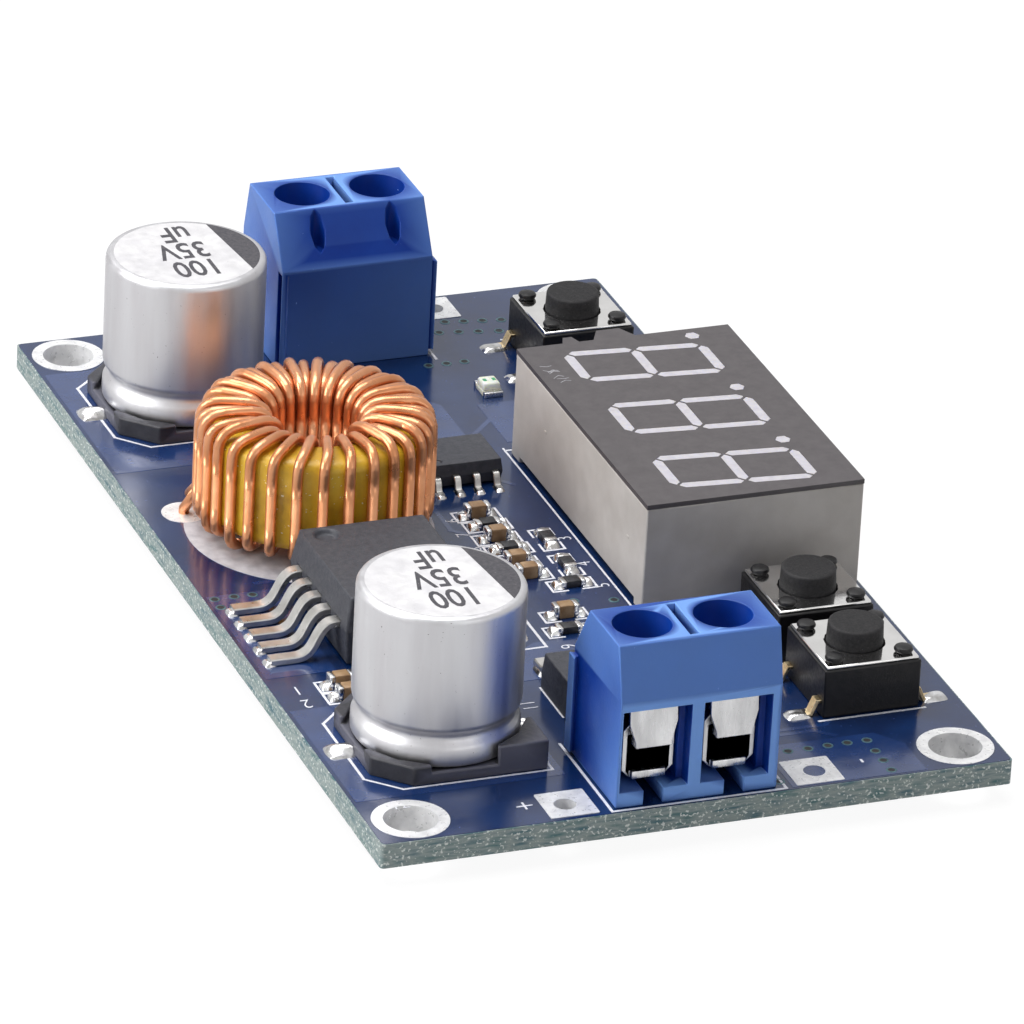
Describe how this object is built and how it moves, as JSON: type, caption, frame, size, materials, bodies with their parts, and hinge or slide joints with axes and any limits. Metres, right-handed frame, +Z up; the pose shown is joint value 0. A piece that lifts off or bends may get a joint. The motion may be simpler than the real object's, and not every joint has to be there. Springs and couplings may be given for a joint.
{
  "type": "buck converter module",
  "caption": "Step-down converter board with a screw terminal at each end, round can capacitors, a toroidal inductor, a numeric meter and push buttons.",
  "frame": {"origin": "middle of the board, on the plane that the cut pin ends under it stand on", "axes": "+Z up through the board to its parts, +Y along the board from the input to the output terminal, +X across it towards the meter"},
  "size_m": [0.0392, 0.0684, 0.0132],
  "materials": {
    "board_laminate": "dark blue solder mask over fibre glass",
    "bare_aluminium": "satin",
    "base_plastic": "fine matt",
    "tinned_metal": "bright tin",
    "core_paint": "yellow epoxy paint on iron powder",
    "enamelled_wire": "copper wire under clear enamel",
    "package_plastic": "moulded epoxy",
    "meter_plastic": "smooth",
    "meter_mask": "printed matt mask",
    "segment_resin": "milky resin",
    "switch_plastic": "fine matt",
    "switch_steel": "polished sheet",
    "terminal_plastic": "moulded, slightly see-through",
    "zinc_steel": "zinc plated",
    "ceramic": "fired ceramic",
    "resistor_coat": "glazed",
    "lamp_resin": "clear resin"
  },
  "bodies": {
    "board": {"chip_body": "package_plastic", "chip_capacitor_bodies": "ceramic", "chip_capacitor_ends": "tinned_metal", "chip_leads": "tinned_metal", "chip_resistor_bodies": "resistor_coat", "chip_resistor_ends": "tinned_metal", "circuit_board": "board_laminate", "diode_body": "package_plastic", "diode_leads": "tinned_metal", "diode_tab": "tinned_metal", "down_switch_contacts": "tinned_metal", "down_switch_cover": "switch_steel", "down_switch_dome": "switch_steel", "down_switch_housing": "switch_plastic", "indicator_base": "meter_plastic", "indicator_ends": "tinned_metal", "indicator_lens": "lamp_resin", "inductor_core": "core_paint", "inductor_winding": "enamelled_wire", "input_capacitor_base": "base_plastic", "input_capacitor_can": "bare_aluminium", "input_capacitor_leads": "tinned_metal", "input_terminal_contacts": "zinc_steel", "input_terminal_housing": "terminal_plastic", "meter_front": "meter_mask", "meter_pins": "tinned_metal", "meter_segments": "segment_resin", "meter_shell": "meter_plastic", "mode_switch_contacts": "tinned_metal", "mode_switch_cover": "switch_steel", "mode_switch_dome": "switch_steel", "mode_switch_housing": "switch_plastic", "output_capacitor_base": "base_plastic", "output_capacitor_can": "bare_aluminium", "output_capacitor_leads": "tinned_metal", "output_terminal_contacts": "zinc_steel", "output_terminal_housing": "terminal_plastic", "regulator_body": "package_plastic", "regulator_leads": "tinned_metal", "regulator_tab": "tinned_metal", "up_switch_contacts": "tinned_metal", "up_switch_cover": "switch_steel", "up_switch_dome": "switch_steel", "up_switch_housing": "switch_plastic"},
    "down_button_body": {"down_button": "switch_plastic"},
    "input_left_cage_body": {"input_left_cage": "zinc_steel"},
    "input_left_screw_body": {"input_left_screw": "zinc_steel"},
    "input_right_cage_body": {"input_right_cage": "zinc_steel"},
    "input_right_screw_body": {"input_right_screw": "zinc_steel"},
    "mode_button_body": {"mode_button": "switch_plastic"},
    "output_left_cage_body": {"output_left_cage": "zinc_steel"},
    "output_left_screw_body": {"output_left_screw": "zinc_steel"},
    "output_right_cage_body": {"output_right_cage": "zinc_steel"},
    "output_right_screw_body": {"output_right_screw": "zinc_steel"},
    "up_button_body": {"up_button": "switch_plastic"}
  },
  "joints": [
    {"name": "up_press", "type": "slide", "parent": "board", "child": "up_button_body", "axis": [0, 0, -1], "range_m": [0, 0.00025], "stiffness_N_per_m": 4000},
    {"name": "down_press", "type": "slide", "parent": "board", "child": "down_button_body", "axis": [0, 0, -1], "range_m": [0, 0.00025], "stiffness_N_per_m": 4000},
    {"name": "mode_press", "type": "slide", "parent": "board", "child": "mode_button_body", "axis": [0, 0, -1], "range_m": [0, 0.00025], "stiffness_N_per_m": 4000},
    {"name": "input_left_turn", "type": "hinge", "parent": "board", "child": "input_left_screw_body", "pos_m": [-0.0028, -0.0305, 0.01], "axis": [0, 0, -1], "range_deg": [0, 1080]},
    {"name": "input_left_rise", "type": "slide", "parent": "board", "child": "input_left_cage_body", "axis": [0, 0, 1], "range_m": [0, 0.0015]},
    {"name": "input_right_turn", "type": "hinge", "parent": "board", "child": "input_right_screw_body", "pos_m": [0.0022, -0.0305, 0.01], "axis": [0, 0, -1], "range_deg": [0, 1080]},
    {"name": "input_right_rise", "type": "slide", "parent": "board", "child": "input_right_cage_body", "axis": [0, 0, 1], "range_m": [0, 0.0015]},
    {"name": "output_left_turn", "type": "hinge", "parent": "board", "child": "output_left_screw_body", "pos_m": [0.0028, 0.0305, 0.01], "axis": [0, 0, -1], "range_deg": [0, 1080]},
    {"name": "output_left_rise", "type": "slide", "parent": "board", "child": "output_left_cage_body", "axis": [0, 0, 1], "range_m": [0, 0.0015]},
    {"name": "output_right_turn", "type": "hinge", "parent": "board", "child": "output_right_screw_body", "pos_m": [-0.0022, 0.0305, 0.01], "axis": [0, 0, -1], "range_deg": [0, 1080]},
    {"name": "output_right_rise", "type": "slide", "parent": "board", "child": "output_right_cage_body", "axis": [0, 0, 1], "range_m": [0, 0.0015]}
  ],
  "couplings": [
    {"joint": "input_left_turn", "follows": "input_left_rise", "rad_per_m": 12566},
    {"joint": "input_right_turn", "follows": "input_right_rise", "rad_per_m": 12566},
    {"joint": "output_left_turn", "follows": "output_left_rise", "rad_per_m": 12566},
    {"joint": "output_right_turn", "follows": "output_right_rise", "rad_per_m": 12566}
  ]
}
